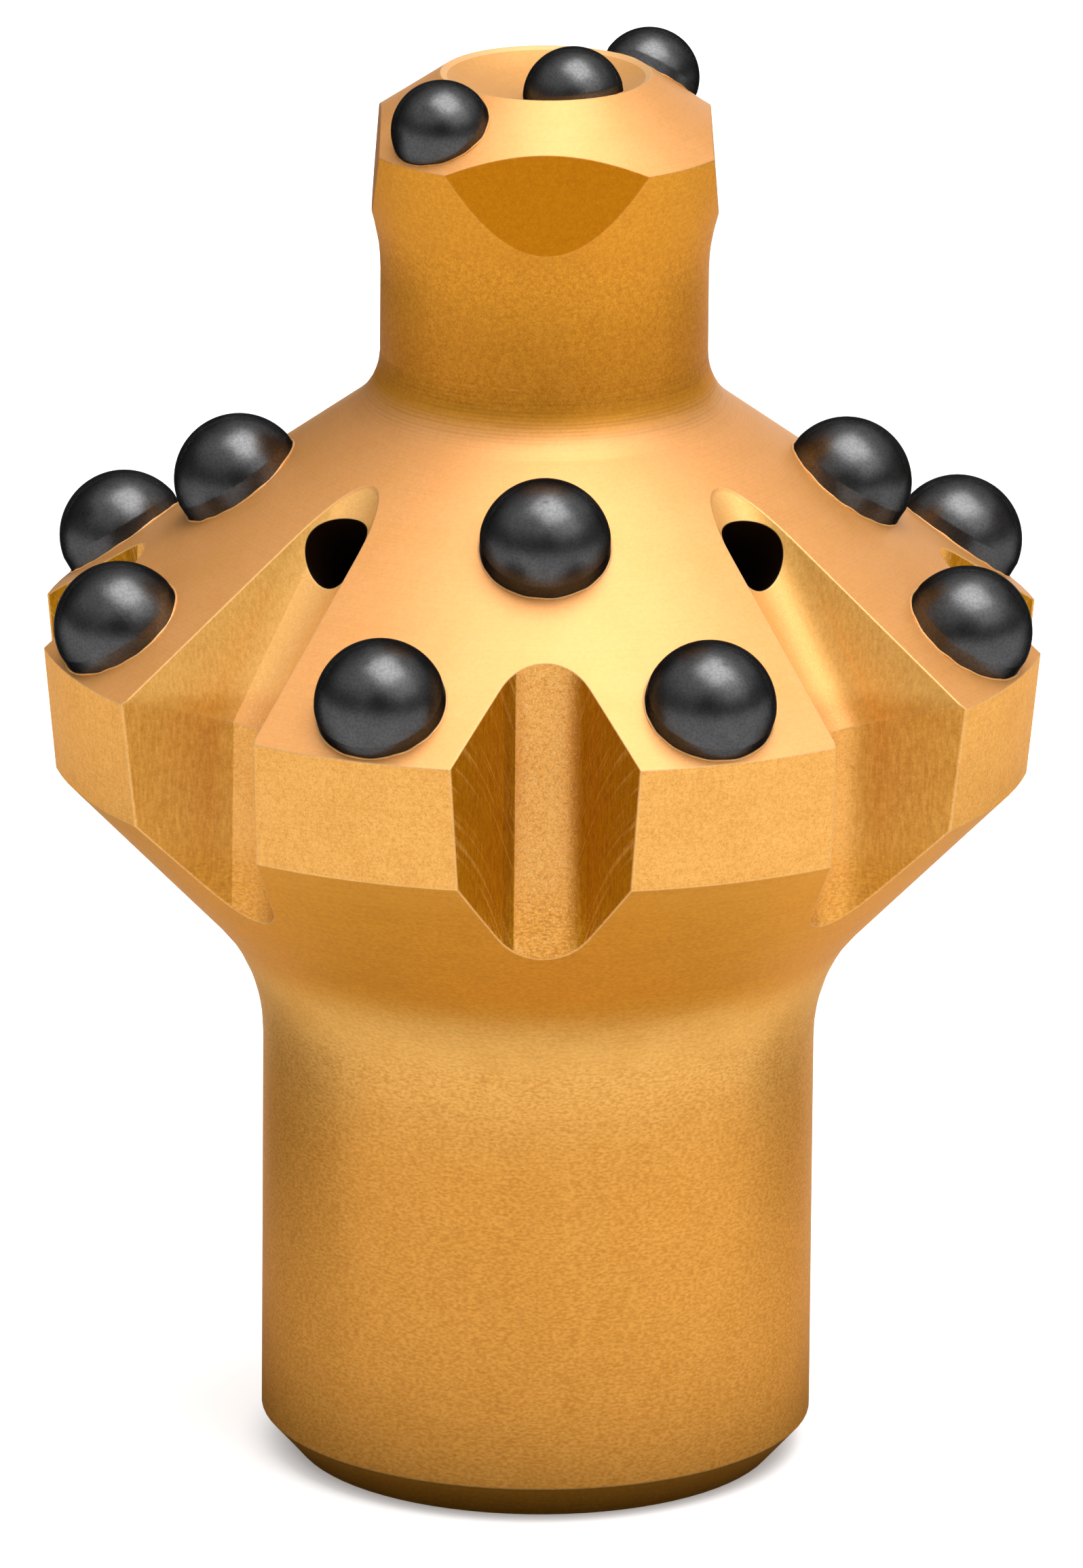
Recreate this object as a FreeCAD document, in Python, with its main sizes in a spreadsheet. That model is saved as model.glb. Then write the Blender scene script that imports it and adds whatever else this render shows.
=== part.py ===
import FreeCAD, Part
import math
import os
import re
import Sketcher
from FreeCAD import Vector

# Reaming bit for rock drilling: one turned and milled steel body with pressed-in carbide buttons.
# The bit stands on its skirt, +Z runs up its axis to the pilot, and the front wing looks along -Y.
# Angles round the axis start at that front wing and turn towards +X.

SIZES = {
    # Skirt and head
    "skirt_diameter": 54.6,
    "skirt_wall": 8.1,
    "foot_chamfer_width": 3.4,
    "foot_chamfer_rise": 3.8,
    "flare_angle": 46.0,
    "flare_fillet": 19.3,
    "rim_height": 84.5,
    "rim_diameter": 99.4,
    "rim_inset": 1.3,
    "rim_land": 12.5,
    "face_angle": 36.0,
    # Pilot
    "pilot_diameter": 38.2,
    "pilot_taper": 15.0,
    "pilot_fillet": 19.5,
    "neck_inset": 3.0,
    "neck_length": 14.5,
    "neck_fillet": 7.4,
    "crown_rise": 6.0,
    "crown_width": 8.75,
    "lip_land": 0.65,
    "lip_drop": 0.3,
    "dish_radius": 22.0,
    "facet_depth": 2.8,
    "facet_lean": 5.0,
    "facet_run": 12.0,
    # Flutes and flushing grooves, cut by one cutter with a rounded tip
    "cutter_radius": 5.1,
    "cutter_half_angle": 33.0,
    "flute_depth": 10.7,
    "groove_drop": 2.6,
    "groove_rise_angle": 54.5,
    "groove_run": 36.0,
    "flush_diameter": 7.1,
    "flush_inset": 21.75,
    "flush_lean": 40.0,
    # Drive cavity and the flushing chamber above it
    "mouth_chamfer": 2.0,
    "cavity_depth": 68.0,
    "chamber_diameter": 20.0,
    "chamber_web": 4.5,
    "drill_point_angle": 118.0,
    # Buttons of the reaming face
    "button_diameter": 12.7,
    "button_band": 1.3,
    "button_dome": 6.44,
    "button_seat": 12.2,
    "button_foot": 1.0,
    "front_inset": 20.0,
    "front_stagger": 2.2,
    "front_tilt": 33.0,
    "gauge_inset": 5.55,
    "gauge_tilt": 34.0,
    "gauge_angle": 21.0,
    # Buttons of the pilot
    "pilot_button_diameter": 9.8,
    "pilot_button_dome": 4.96,
    "pilot_button_foot": 0.8,
    "pilot_gauge_inset": 4.5,
    "pilot_gauge_tilt": 39.0,
    "pilot_gauge_band": 0.5,
    "pilot_gauge_seat": 8.5,
    "centre_inset": 5.85,
    "centre_tilt": 11.5,
    "centre_band": 1.3,
    "centre_seat": 7.0,
    # Gap between a button's shank and its socket, on the radius
    "socket_clearance": 0.02,
}

WINGS = 4
PILOT_GAUGE_BUTTONS = 2
# The flushing grooves and the pilot buttons lie on the diagonals between the wings
DIAGONAL = 360 / WINGS / 2
# Places nearer to each other than this are the same place
SAME_PLACE = 1e-4

doc = FreeCAD.newDocument("reamer_bit")
sheet = doc.addObject("Spreadsheet::Sheet", "size")
for row, (alias, amount) in enumerate(SIZES.items(), start=1):
    sheet.set(f"A{row}", alias)
    sheet.set(f"B{row}", str(amount))
    sheet.setAlias(f"B{row}", alias)
doc.recompute()


def cell(expression):
    """An expression with each size name turned into its cell in the sheet."""
    def named(word):
        return f"size.{word[0]}" if word[0] in SIZES else word[0]

    return re.sub(r"[a-z_]+", named, expression)


def bind(item, target, expression):
    item.setExpression(target, cell(expression))


def number(expression):
    """The present value of an expression of sizes."""
    return float(sheet.evalExpression(cell(expression)))


def origin_part(body, role):
    return next(item for item in body.Origin.OriginFeatures if item.Role == role)


def new_body(label):
    body = doc.addObject("PartDesign::Body", label)
    body.Label = label
    return body


def new_sketch(body, name, role):
    sketch = body.newObject("Sketcher::SketchObject", name)
    sketch.AttachmentSupport = [(origin_part(body, role), "")]
    sketch.MapMode = "FlatFace"
    return sketch


def place_point(sketch, geometry, end, across, along):
    """Fixes one end of a sketch line or arc by its distances from the sketch's origin."""
    for kind, expression in (("DistanceX", across), ("DistanceY", along)):
        constraint = Sketcher.Constraint(kind, -1, 1, geometry, end, number(expression))
        index = sketch.addConstraint(constraint)
        bind(sketch, f"Constraints[{index}]", expression)


def polygon(sketch, corners):
    """A closed outline of straight lines through corners given as pairs of expressions."""
    points = [Vector(number(across), number(along), 0) for across, along in corners]
    count = len(corners)
    lines = [
        sketch.addGeometry(Part.LineSegment(points[index], points[(index + 1) % count]), False)
        for index in range(count)
    ]
    for index, line in enumerate(lines):
        sketch.addConstraint(Sketcher.Constraint("Coincident", line, 2, lines[(index + 1) % count], 1))
        place_point(sketch, line, 1, *corners[index])
    return lines


def revolve(body, name, kind, sketch):
    feature = body.newObject(kind, name)
    feature.Profile = sketch
    feature.ReferenceAxis = (sketch, ["V_Axis"])
    feature.Angle = 360
    return feature


def cut(body, name, sketch, length):
    """A pocket of the given length to each side of its sketch."""
    pocket = body.newObject("PartDesign::Pocket", name)
    pocket.Profile = sketch
    pocket.Midplane = True
    bind(pocket, "Length", f"2 * ({length})")
    return pocket


def pattern(body, name, originals, copies):
    """Copies of cuts, evenly spaced round the bit's axis."""
    polar = body.newObject("PartDesign::PolarPattern", name)
    polar.Originals = originals
    polar.Axis = (origin_part(body, "Z_Axis"), [""])
    polar.Angle = 360
    polar.Occurrences = copies
    body.Tip = polar
    return polar


def leaning_frame(angle, radius, height, lean):
    """A frame at a radius and height, with its z leaning outwards from the bit's axis."""
    across = f"({radius}) * sin({angle})"
    depth = f"-({radius}) * cos({angle})"
    return f"placement(vector({across}; {depth}; {height}); rotation({angle}; 0; {lean}))"


# Places worked out from the sizes, from the skirt up to the pilot
RIM_LOW_RADIUS = "(rim_diameter / 2 - rim_inset)"
RIM_LOW_HEIGHT = "(rim_height - rim_land)"
SKIRT_CORNER = f"{RIM_LOW_HEIGHT} - ({RIM_LOW_RADIUS} - skirt_diameter / 2) * tan(flare_angle)"
CAVITY_RADIUS = "(skirt_diameter / 2 - skirt_wall)"
CHAMBER_TOP = "(rim_height - chamber_web)"
NECK_RADIUS = "(pilot_diameter / 2 - neck_inset)"
NECK_CORNER = f"(rim_height + (rim_diameter / 2 - {NECK_RADIUS}) * tan(face_angle))"
PILOT_CORNER = f"({NECK_CORNER} + neck_length)"
PILOT_HEIGHT = f"({PILOT_CORNER} + neck_inset / tan(pilot_taper))"
CROWN_HEIGHT = f"({PILOT_HEIGHT} + crown_rise)"
LIP_RADIUS = "(pilot_diameter / 2 - crown_width)"
LIP_BOTTOM = f"({CROWN_HEIGHT} - lip_drop)"
DISH_EDGE = f"({LIP_RADIUS} - lip_land)"
DISH_CENTRE = f"({LIP_BOTTOM} + sqrt(dish_radius ^ 2 - {DISH_EDGE} ^ 2))"
FACET_DISTANCE = "(pilot_diameter / 2 - facet_depth)"
FLUTE_FLOOR = "(rim_diameter / 2 - flute_depth)"
GROOVE_HEIGHT = "(rim_height - groove_drop)"
FLUSH_RADIUS = "(rim_diameter / 2 - flush_inset)"
FLUSH_HEIGHT = f"({GROOVE_HEIGHT} + ({FLUTE_FLOOR} - {FLUSH_RADIUS}) * tan(groove_rise_angle))"

# Where the pilot's buttons meet the steel
PILOT_GAUGE_RADIUS = "pilot_diameter / 2 - pilot_gauge_inset"
PILOT_GAUGE_HEIGHT = f"{PILOT_HEIGHT} + pilot_gauge_inset * crown_rise / crown_width"
CENTRE_RADIUS = f"({DISH_EDGE} - centre_inset)"
CENTRE_HEIGHT = f"{DISH_CENTRE} - sqrt(dish_radius ^ 2 - {CENTRE_RADIUS} ^ 2)"

REAMING = {
    "diameter": "button_diameter",
    "dome": "button_dome",
    "foot": "button_foot",
    "band": "button_band",
    "seat": "button_seat",
}
PILOT_GAUGE = {
    "diameter": "pilot_button_diameter",
    "dome": "pilot_button_dome",
    "foot": "pilot_button_foot",
    "band": "pilot_gauge_band",
    "seat": "pilot_gauge_seat",
}
CENTRE = dict(PILOT_GAUGE, band="centre_band", seat="centre_seat")


def face_place(inset, tilt):
    """Radius, height and lean of a button on the reaming face, at its inset from the rim."""
    return f"rim_diameter / 2 - {inset}", f"rim_height + {inset} * tan(face_angle)", tilt


# Each family: the angles and places of its first buttons, and how often they repeat round the axis
FAMILIES = [
    {
        "label": "front_button",
        "shape": REAMING,
        "seats": [
            ("0", face_place("(front_inset + front_stagger)", "front_tilt")),
            (f"{360 // WINGS}", face_place("front_inset", "front_tilt")),
        ],
        "repeats": WINGS // 2,
    },
    {
        "label": "gauge_button",
        "shape": REAMING,
        "seats": [
            ("-gauge_angle", face_place("gauge_inset", "gauge_tilt")),
            ("gauge_angle", face_place("gauge_inset", "gauge_tilt")),
        ],
        "repeats": WINGS,
    },
    {
        "label": "pilot_gauge_button",
        "shape": PILOT_GAUGE,
        "seats": [
            (f"-{DIAGONAL}", (PILOT_GAUGE_RADIUS, PILOT_GAUGE_HEIGHT, "pilot_gauge_tilt")),
        ],
        "repeats": PILOT_GAUGE_BUTTONS,
    },
    {
        "label": "pilot_centre_button",
        "shape": CENTRE,
        "seats": [(f"{DIAGONAL}", (CENTRE_RADIUS, CENTRE_HEIGHT, "-centre_tilt"))],
        "repeats": 1,
    },
]


def turned_blank(body):
    outline = new_sketch(body, "turned_outline", "XZ_Plane")
    polygon(outline, [
        ("0", "0"),
        ("skirt_diameter / 2 - foot_chamfer_width", "0"),
        ("skirt_diameter / 2", "foot_chamfer_rise"),
        ("skirt_diameter / 2", SKIRT_CORNER),
        (RIM_LOW_RADIUS, RIM_LOW_HEIGHT),
        ("rim_diameter / 2", "rim_height"),
        (NECK_RADIUS, NECK_CORNER),
        (NECK_RADIUS, PILOT_CORNER),
        ("pilot_diameter / 2", PILOT_HEIGHT),
        (LIP_RADIUS, CROWN_HEIGHT),
        (DISH_EDGE, LIP_BOTTOM),
        ("0", LIP_BOTTOM),
    ])
    blank = revolve(body, "blank", "PartDesign::Revolution", outline)
    doc.recompute()

    def round_corner(name, base, radius, height, size):
        edges = [
            f"Edge{index}"
            for index, edge in enumerate(base.Shape.Edges, start=1)
            if isinstance(edge.Curve, Part.Circle)
            and abs(edge.Curve.Radius - number(radius)) < SAME_PLACE
            and abs(edge.Curve.Center.z - number(height)) < SAME_PLACE
        ]
        corner = body.newObject("PartDesign::Fillet", name)
        corner.Base = (base, edges)
        bind(corner, "Radius", size)
        doc.recompute()
        return corner

    under_head = round_corner("under_head", blank, "skirt_diameter / 2", SKIRT_CORNER, "flare_fillet")
    neck_root = round_corner("neck_root", under_head, NECK_RADIUS, NECK_CORNER, "neck_fillet")
    round_corner("pilot_root", neck_root, NECK_RADIUS, PILOT_CORNER, "pilot_fillet")


def dish(body):
    """The shallow spherical hollow in the pilot's end."""
    outline = new_sketch(body, "dish_outline", "XZ_Plane")
    centre = Vector(0, number(DISH_CENTRE), 0)
    radius = number("dish_radius")
    edge_angle = -math.acos(number(DISH_EDGE) / radius)
    circle = Part.Circle(centre, Vector(0, 0, 1), radius)
    hollow = outline.addGeometry(Part.ArcOfCircle(circle, -math.pi / 2, edge_angle), False)
    edge = Vector(number(DISH_EDGE), number(LIP_BOTTOM), 0)
    roof = edge + Vector(0, number("lip_drop"), 0)
    side = outline.addGeometry(Part.LineSegment(edge, roof), False)
    top = outline.addGeometry(Part.LineSegment(roof, Vector(0, roof.y, 0)), False)
    bottom = Vector(0, centre.y - radius, 0)
    axis = outline.addGeometry(Part.LineSegment(Vector(0, roof.y, 0), bottom), False)
    outline.addConstraint([
        Sketcher.Constraint("Coincident", hollow, 2, side, 1),
        Sketcher.Constraint("Coincident", side, 2, top, 1),
        Sketcher.Constraint("Coincident", top, 2, axis, 1),
        Sketcher.Constraint("Coincident", axis, 2, hollow, 1),
        Sketcher.Constraint("PointOnObject", hollow, 3, -2),
        Sketcher.Constraint("PointOnObject", axis, 1, -2),
        Sketcher.Constraint("PointOnObject", axis, 2, -2),
        Sketcher.Constraint("Vertical", side),
        Sketcher.Constraint("Horizontal", top),
    ])
    place_point(outline, side, 1, DISH_EDGE, LIP_BOTTOM)
    rise = outline.addConstraint(Sketcher.Constraint("DistanceY", side, 1, side, 2, number("lip_drop")))
    bind(outline, f"Constraints[{rise}]", "lip_drop")
    round_size = outline.addConstraint(Sketcher.Constraint("Radius", hollow, radius))
    bind(outline, f"Constraints[{round_size}]", "dish_radius")
    revolve(body, "dish", "PartDesign::Groove", outline)
    doc.recompute()


def drive_cavity(body):
    """The cavity for the drive thread, and the chamber that feeds the flush holes."""
    point_rise = "chamber_diameter / 2 / tan(drill_point_angle / 2)"
    outline = new_sketch(body, "cavity_outline", "XZ_Plane")
    polygon(outline, [
        ("0", "0"),
        (f"{CAVITY_RADIUS} + mouth_chamfer", "0"),
        (CAVITY_RADIUS, "mouth_chamfer"),
        (CAVITY_RADIUS, "cavity_depth"),
        ("chamber_diameter / 2", "cavity_depth"),
        ("chamber_diameter / 2", CHAMBER_TOP),
        ("0", f"{CHAMBER_TOP} + {point_rise}"),
    ])
    revolve(body, "cavity", "PartDesign::Groove", outline)
    doc.recompute()


def pilot_facets(body):
    """Four flats milled on the pilot's taper, leaning in towards the top."""
    bottom = f"{PILOT_HEIGHT} - facet_run"
    outside = "-pilot_diameter"
    side = new_sketch(body, "facet_outline", "YZ_Plane")
    polygon(side, [
        (f"-{FACET_DISTANCE} - facet_run * tan(facet_lean)", bottom),
        (outside, bottom),
        (outside, CROWN_HEIGHT),
        (f"-{FACET_DISTANCE} + crown_rise * tan(facet_lean)", CROWN_HEIGHT),
    ])
    facet = cut(body, "facet", side, "pilot_diameter")
    pattern(body, "facets", [facet], WINGS)
    doc.recompute()


def cutter_section(sketch, floor):
    """The cutter's section, opening towards -y: a round floor and two straight walls."""
    lean = math.radians(number("cutter_half_angle"))
    radius = number("cutter_radius")
    tip = Vector(0, -number(f"{floor} + cutter_radius"), 0)
    touch_across = radius * math.cos(lean)
    touch_along = tip.y + radius * math.sin(lean)
    depth = "rim_diameter / 2"
    mouth = Vector(touch_across + number(depth) * math.tan(lean), touch_along - number(depth), 0)
    circle = Part.Circle(tip, Vector(0, 0, 1), radius)
    arc = sketch.addGeometry(Part.ArcOfCircle(circle, lean, math.pi - lean), False)
    right_top = Vector(touch_across, touch_along, 0)
    left_top = Vector(-touch_across, touch_along, 0)
    left_mouth = Vector(-mouth.x, mouth.y, 0)
    left = sketch.addGeometry(Part.LineSegment(left_top, left_mouth), False)
    open_side = sketch.addGeometry(Part.LineSegment(left_mouth, mouth), False)
    right = sketch.addGeometry(Part.LineSegment(mouth, right_top), False)
    sketch.addConstraint([
        Sketcher.Constraint("Tangent", arc, 2, left, 1),
        Sketcher.Constraint("Coincident", left, 2, open_side, 1),
        Sketcher.Constraint("Coincident", open_side, 2, right, 1),
        Sketcher.Constraint("Tangent", right, 2, arc, 1),
        Sketcher.Constraint("PointOnObject", arc, 3, -2),
        Sketcher.Constraint("Symmetric", left, 2, right, 1, -2),
    ])
    sized = [
        (Sketcher.Constraint("Radius", arc, radius), "cutter_radius"),
        (Sketcher.Constraint("DistanceY", arc, 3, -1, 1, -tip.y), f"{floor} + cutter_radius"),
        (Sketcher.Constraint("Angle", left, 1, right, 2, 2 * lean), "2 * cutter_half_angle * 1 deg"),
        (Sketcher.Constraint("DistanceY", left, 2, left, 1, number(depth)), depth),
    ]
    for constraint, expression in sized:
        index = sketch.addConstraint(constraint)
        bind(sketch, f"Constraints[{index}]", expression)


def flutes(body):
    """Upright V flutes in the rim: one in each wing and one on each diagonal."""
    section = new_sketch(body, "flute_section", "XY_Plane")
    cutter_section(section, FLUTE_FLOOR)
    flute = cut(body, "flute", section, CROWN_HEIGHT)
    pattern(body, "flutes", [flute], 2 * WINGS)
    doc.recompute()


def flushing_grooves(body):
    """The same cutter run up the face on each diagonal, and the flush hole in its floor."""
    section = new_sketch(body, "groove_section", "XY_Plane")
    bind(section, "AttachmentOffset", leaning_frame(
        f"{DIAGONAL}", FLUTE_FLOOR, GROOVE_HEIGHT, "groove_rise_angle - 90"
    ))
    cutter_section(section, "0")
    groove = cut(body, "groove", section, "groove_run")

    mouth = new_sketch(body, "flush_mouth", "XY_Plane")
    bind(mouth, "AttachmentOffset", leaning_frame(
        f"{DIAGONAL}", FLUSH_RADIUS, FLUSH_HEIGHT, "flush_lean"
    ))
    circle_sketch(mouth, "flush_diameter")
    hole = cut(body, "flush_hole", mouth, f"({FLUSH_RADIUS} - chamber_diameter / 4) / sin(flush_lean)")
    pattern(body, "flushing_grooves", [groove, hole], WINGS)
    doc.recompute()


def circle_sketch(sketch, diameter):
    circle = Part.Circle(Vector(0, 0, 0), Vector(0, 0, 1), number(diameter) / 2)
    ring = sketch.addGeometry(circle, False)
    sketch.addConstraint(Sketcher.Constraint("Coincident", ring, 3, -1, 1))
    index = sketch.addConstraint(Sketcher.Constraint("Diameter", ring, number(diameter)))
    bind(sketch, f"Constraints[{index}]", diameter)


def sockets(body, family):
    """Blind sockets for one family of buttons."""
    name, shape = family["label"], family["shape"]
    holes = []
    for index, (angle, place) in enumerate(family["seats"], start=1):
        mouth = new_sketch(body, f"{name}_mouth_{index}", "XY_Plane")
        bind(mouth, "AttachmentOffset", leaning_frame(angle, *place))
        circle_sketch(mouth, f"{shape['diameter']} + 2 * socket_clearance")
        holes.append(cut(body, f"{name}_socket_{index}", mouth, shape["seat"]))
    if family["repeats"] > 1:
        pattern(body, f"{name}_sockets", holes, family["repeats"])
    doc.recompute()


def bit_body():
    body = new_body("bit_body")
    turned_blank(body)
    dish(body)
    drive_cavity(body)
    pilot_facets(body)
    flutes(body)
    flushing_grooves(body)
    for family in FAMILIES:
        sockets(body, family)
    return body


def button(label, shape, placement):
    """One carbide button: chamfered foot, straight shank and a domed head, turned about its axis."""
    body = new_body(label)
    radius = f"{shape['diameter']} / 2"
    seat, band, foot, dome = shape["seat"], shape["band"], shape["foot"], shape["dome"]
    outline = new_sketch(body, f"{label}_outline", "XZ_Plane")
    corners = [
        ("0", f"-{seat}"),
        (f"{radius} - {foot}", f"-{seat}"),
        (radius, f"{foot} - {seat}"),
        (radius, band),
    ]
    points = [Vector(number(across), number(along), 0) for across, along in corners]
    lines = [
        outline.addGeometry(Part.LineSegment(points[index], points[index + 1]), False)
        for index in range(len(points) - 1)
    ]
    for index, line in enumerate(lines):
        place_point(outline, line, 1, *corners[index])
        if index:
            outline.addConstraint(Sketcher.Constraint("Coincident", lines[index - 1], 2, line, 1))
    place_point(outline, lines[-1], 2, *corners[-1])

    centre_height = f"{band} - sqrt({dome} ^ 2 - ({radius}) ^ 2)"
    centre = Vector(0, number(centre_height), 0)
    start = math.atan2(points[-1].y - centre.y, points[-1].x)
    circle = Part.Circle(centre, Vector(0, 0, 1), number(dome))
    head = outline.addGeometry(Part.ArcOfCircle(circle, start, math.pi / 2), False)
    apex = centre + Vector(0, number(dome), 0)
    axis = outline.addGeometry(Part.LineSegment(apex, points[0]), False)
    outline.addConstraint([
        Sketcher.Constraint("Coincident", lines[-1], 2, head, 1),
        Sketcher.Constraint("Coincident", head, 2, axis, 1),
        Sketcher.Constraint("Coincident", axis, 2, lines[0], 1),
        Sketcher.Constraint("PointOnObject", head, 3, -2),
        Sketcher.Constraint("PointOnObject", axis, 1, -2),
    ])
    round_size = outline.addConstraint(Sketcher.Constraint("Radius", head, number(dome)))
    bind(outline, f"Constraints[{round_size}]", dome)
    revolve(body, f"{label}_turned", "PartDesign::Revolution", outline)
    bind(body, "Placement", placement)
    return body


def buttons(family):
    """Every button of a family, numbered in order round the bit's axis."""
    turns = [turn * 360 / family["repeats"] for turn in range(family["repeats"])]
    seats = [(f"({turn} + {angle})", place) for turn in turns for angle, place in family["seats"]]
    pieces = []
    for index, (angle, place) in enumerate(seats, start=1):
        label = f"{family['label']}_{index}" if len(seats) > 1 else family["label"]
        pieces.append(button(label, family["shape"], leaning_frame(angle, *place)))
    return pieces


parts = [bit_body()]
for family in FAMILIES:
    parts.extend(buttons(family))
doc.recompute()

for item in doc.Objects:
    if "Invalid" in item.State or "Error" in item.State:
        raise RuntimeError(f"{item.Label} failed: {item.State}")
for part in parts:
    if part.Shape.isNull() or not part.Shape.isValid() or len(part.Shape.Solids) != 1:
        raise RuntimeError(f"{part.Label} is not one sound solid")

os.makedirs("parts", exist_ok=True)
for part in parts:
    part.Shape.exportStep(f"parts/{part.Label}.step")
    print(part.Label, round(part.Shape.Volume, 1))
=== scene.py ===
import math

import bmesh
import bpy
import numpy as np
from mathutils import Matrix, Vector
from mathutils import noise as noiseField
from mathutils.bvhtree import BVHTree


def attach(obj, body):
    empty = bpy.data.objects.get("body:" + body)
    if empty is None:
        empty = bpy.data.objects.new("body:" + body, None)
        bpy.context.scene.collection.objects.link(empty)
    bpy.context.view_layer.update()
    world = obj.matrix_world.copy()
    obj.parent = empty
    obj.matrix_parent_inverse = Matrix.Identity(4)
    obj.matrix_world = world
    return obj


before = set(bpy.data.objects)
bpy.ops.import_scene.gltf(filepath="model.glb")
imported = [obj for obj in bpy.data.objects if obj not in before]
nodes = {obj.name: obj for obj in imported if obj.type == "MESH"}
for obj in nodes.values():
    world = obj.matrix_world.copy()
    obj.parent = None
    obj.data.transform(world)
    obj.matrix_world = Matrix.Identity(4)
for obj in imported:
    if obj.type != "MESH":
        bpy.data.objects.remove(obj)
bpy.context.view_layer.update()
scene = bpy.context.scene
scene.view_settings.view_transform = "Standard"
print("stage: frame loaded,", len(nodes), "parts")


# Camera, at the photograph's angle

cameraSetup = {
    "target": (0.000108, 0.0, 0.067959),
    "distance": 1.83083,
    "azimuth": -0.5585,
    "elevation": 17.2725,
    "roll": 0.477,
    "lens": 425.87,
    "sensor": 36.0,
    "clip": (0.05, 50.0),
}


def addCamera(setup):
    turn = math.radians(setup["azimuth"])
    rise = math.radians(setup["elevation"])
    back = Vector((math.sin(turn) * math.cos(rise), -math.cos(turn) * math.cos(rise), math.sin(rise)))
    data = bpy.data.cameras.new("camera")
    data.lens = setup["lens"]
    data.sensor_width = setup["sensor"]
    data.clip_start, data.clip_end = setup["clip"]
    camera = bpy.data.objects.new("camera", data)
    scene.collection.objects.link(camera)
    place = Matrix.Translation(Vector(setup["target"]) + back * setup["distance"])
    facing = (-back).to_track_quat("-Z", "Y").to_matrix().to_4x4()
    lean = Matrix.Rotation(math.radians(setup["roll"]), 4, "Z")
    camera.matrix_world = place @ facing @ lean
    scene.camera = camera


addCamera(cameraSetup)


# Small helpers for node trees

def addNode(tree, kind, **settings):
    made = tree.nodes.new(kind)
    for name, value in settings.items():
        setattr(made, name, value)
    return made


def feed(tree, socket, value):
    # A socket is linked, anything else is set as the socket's own value
    if isinstance(value, bpy.types.NodeSocket):
        tree.links.new(value, socket)
    else:
        socket.default_value = value


def feedAll(tree, made, values):
    for socket, value in zip(made.inputs, values):
        feed(tree, socket, value)
    return made.outputs


def calc(tree, operation, *values, clamp=False):
    made = addNode(tree, "ShaderNodeMath", operation=operation, use_clamp=clamp)
    return feedAll(tree, made, values)[0]


def times(tree, first, *others):
    for other in others:
        first = calc(tree, "MULTIPLY", first, other)
    return first


def vectorCalc(tree, operation, *values):
    return feedAll(tree, addNode(tree, "ShaderNodeVectorMath", operation=operation), values)


def split(tree, vector):
    return feedAll(tree, addNode(tree, "ShaderNodeSeparateXYZ"), [vector])


def join(tree, *values):
    return feedAll(tree, addNode(tree, "ShaderNodeCombineXYZ"), values)[0]


def ramp(tree, value, low, high, first=0.0, last=1.0):
    made = addNode(tree, "ShaderNodeMapRange", interpolation_type="SMOOTHSTEP")
    for name, amount in (("Value", value), ("From Min", low), ("From Max", high),
                         ("To Min", first), ("To Max", last)):
        feed(tree, made.inputs[name], amount)
    return made.outputs["Result"]


def band(tree, value, rise, fall):
    # Rises over the first stretch and falls again over the second
    return times(tree, ramp(tree, value, *rise), ramp(tree, value, *fall, 1.0, 0.0))


def blendColour(tree, share, first, second, mode="MIX"):
    # The mix node takes colours at its sockets 6 and 7 and gives one at its output 2
    made = addNode(tree, "ShaderNodeMix", data_type="RGBA", blend_type=mode, clamp_factor=True)
    for index, value in ((0, share), (6, first), (7, second)):
        feed(tree, made.inputs[index], value)
    return made.outputs[2]


def noise(tree, place, scale, detail=1.0, roughness=0.5):
    made = addNode(tree, "ShaderNodeTexNoise")
    feed(tree, made.inputs["Vector"], place)
    made.inputs["Scale"].default_value = scale
    made.inputs["Detail"].default_value = detail
    made.inputs["Roughness"].default_value = roughness
    return made.outputs["Fac"]


def bump(tree, height, distance, strength, normal):
    made = addNode(tree, "ShaderNodeBump")
    made.inputs["Distance"].default_value = distance
    feed(tree, made.inputs["Strength"], strength)
    feed(tree, made.inputs["Height"], height)
    feed(tree, made.inputs["Normal"], normal)
    return made.outputs["Normal"]


def softEdges(tree, radius, samples=4):
    made = addNode(tree, "ShaderNodeBevel", samples=samples)
    made.inputs["Radius"].default_value = radius
    return made.outputs[0]


def emptyMaterial(name):
    material = bpy.data.materials.new(name)
    material.use_nodes = True
    material.node_tree.nodes.clear()
    return material, material.node_tree


def newMaterial(name):
    material, tree = emptyMaterial(name)
    shader = addNode(tree, "ShaderNodeBsdfPrincipled")
    output = addNode(tree, "ShaderNodeOutputMaterial")
    tree.links.new(shader.outputs[0], output.inputs["Surface"])
    return material, tree, shader


def addPiece(name, mesh, material, smooth=False):
    # The finished mesh goes into the scene at the origin
    data = bpy.data.meshes.new(name)
    mesh.to_mesh(data)
    mesh.free()
    data.materials.append(material)
    for face in data.polygons:
        face.use_smooth = smooth
    piece = bpy.data.objects.new(name, data)
    scene.collection.objects.link(piece)
    return piece


# Coated steel: satin gold-bronze over turned and milled surfaces

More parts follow.
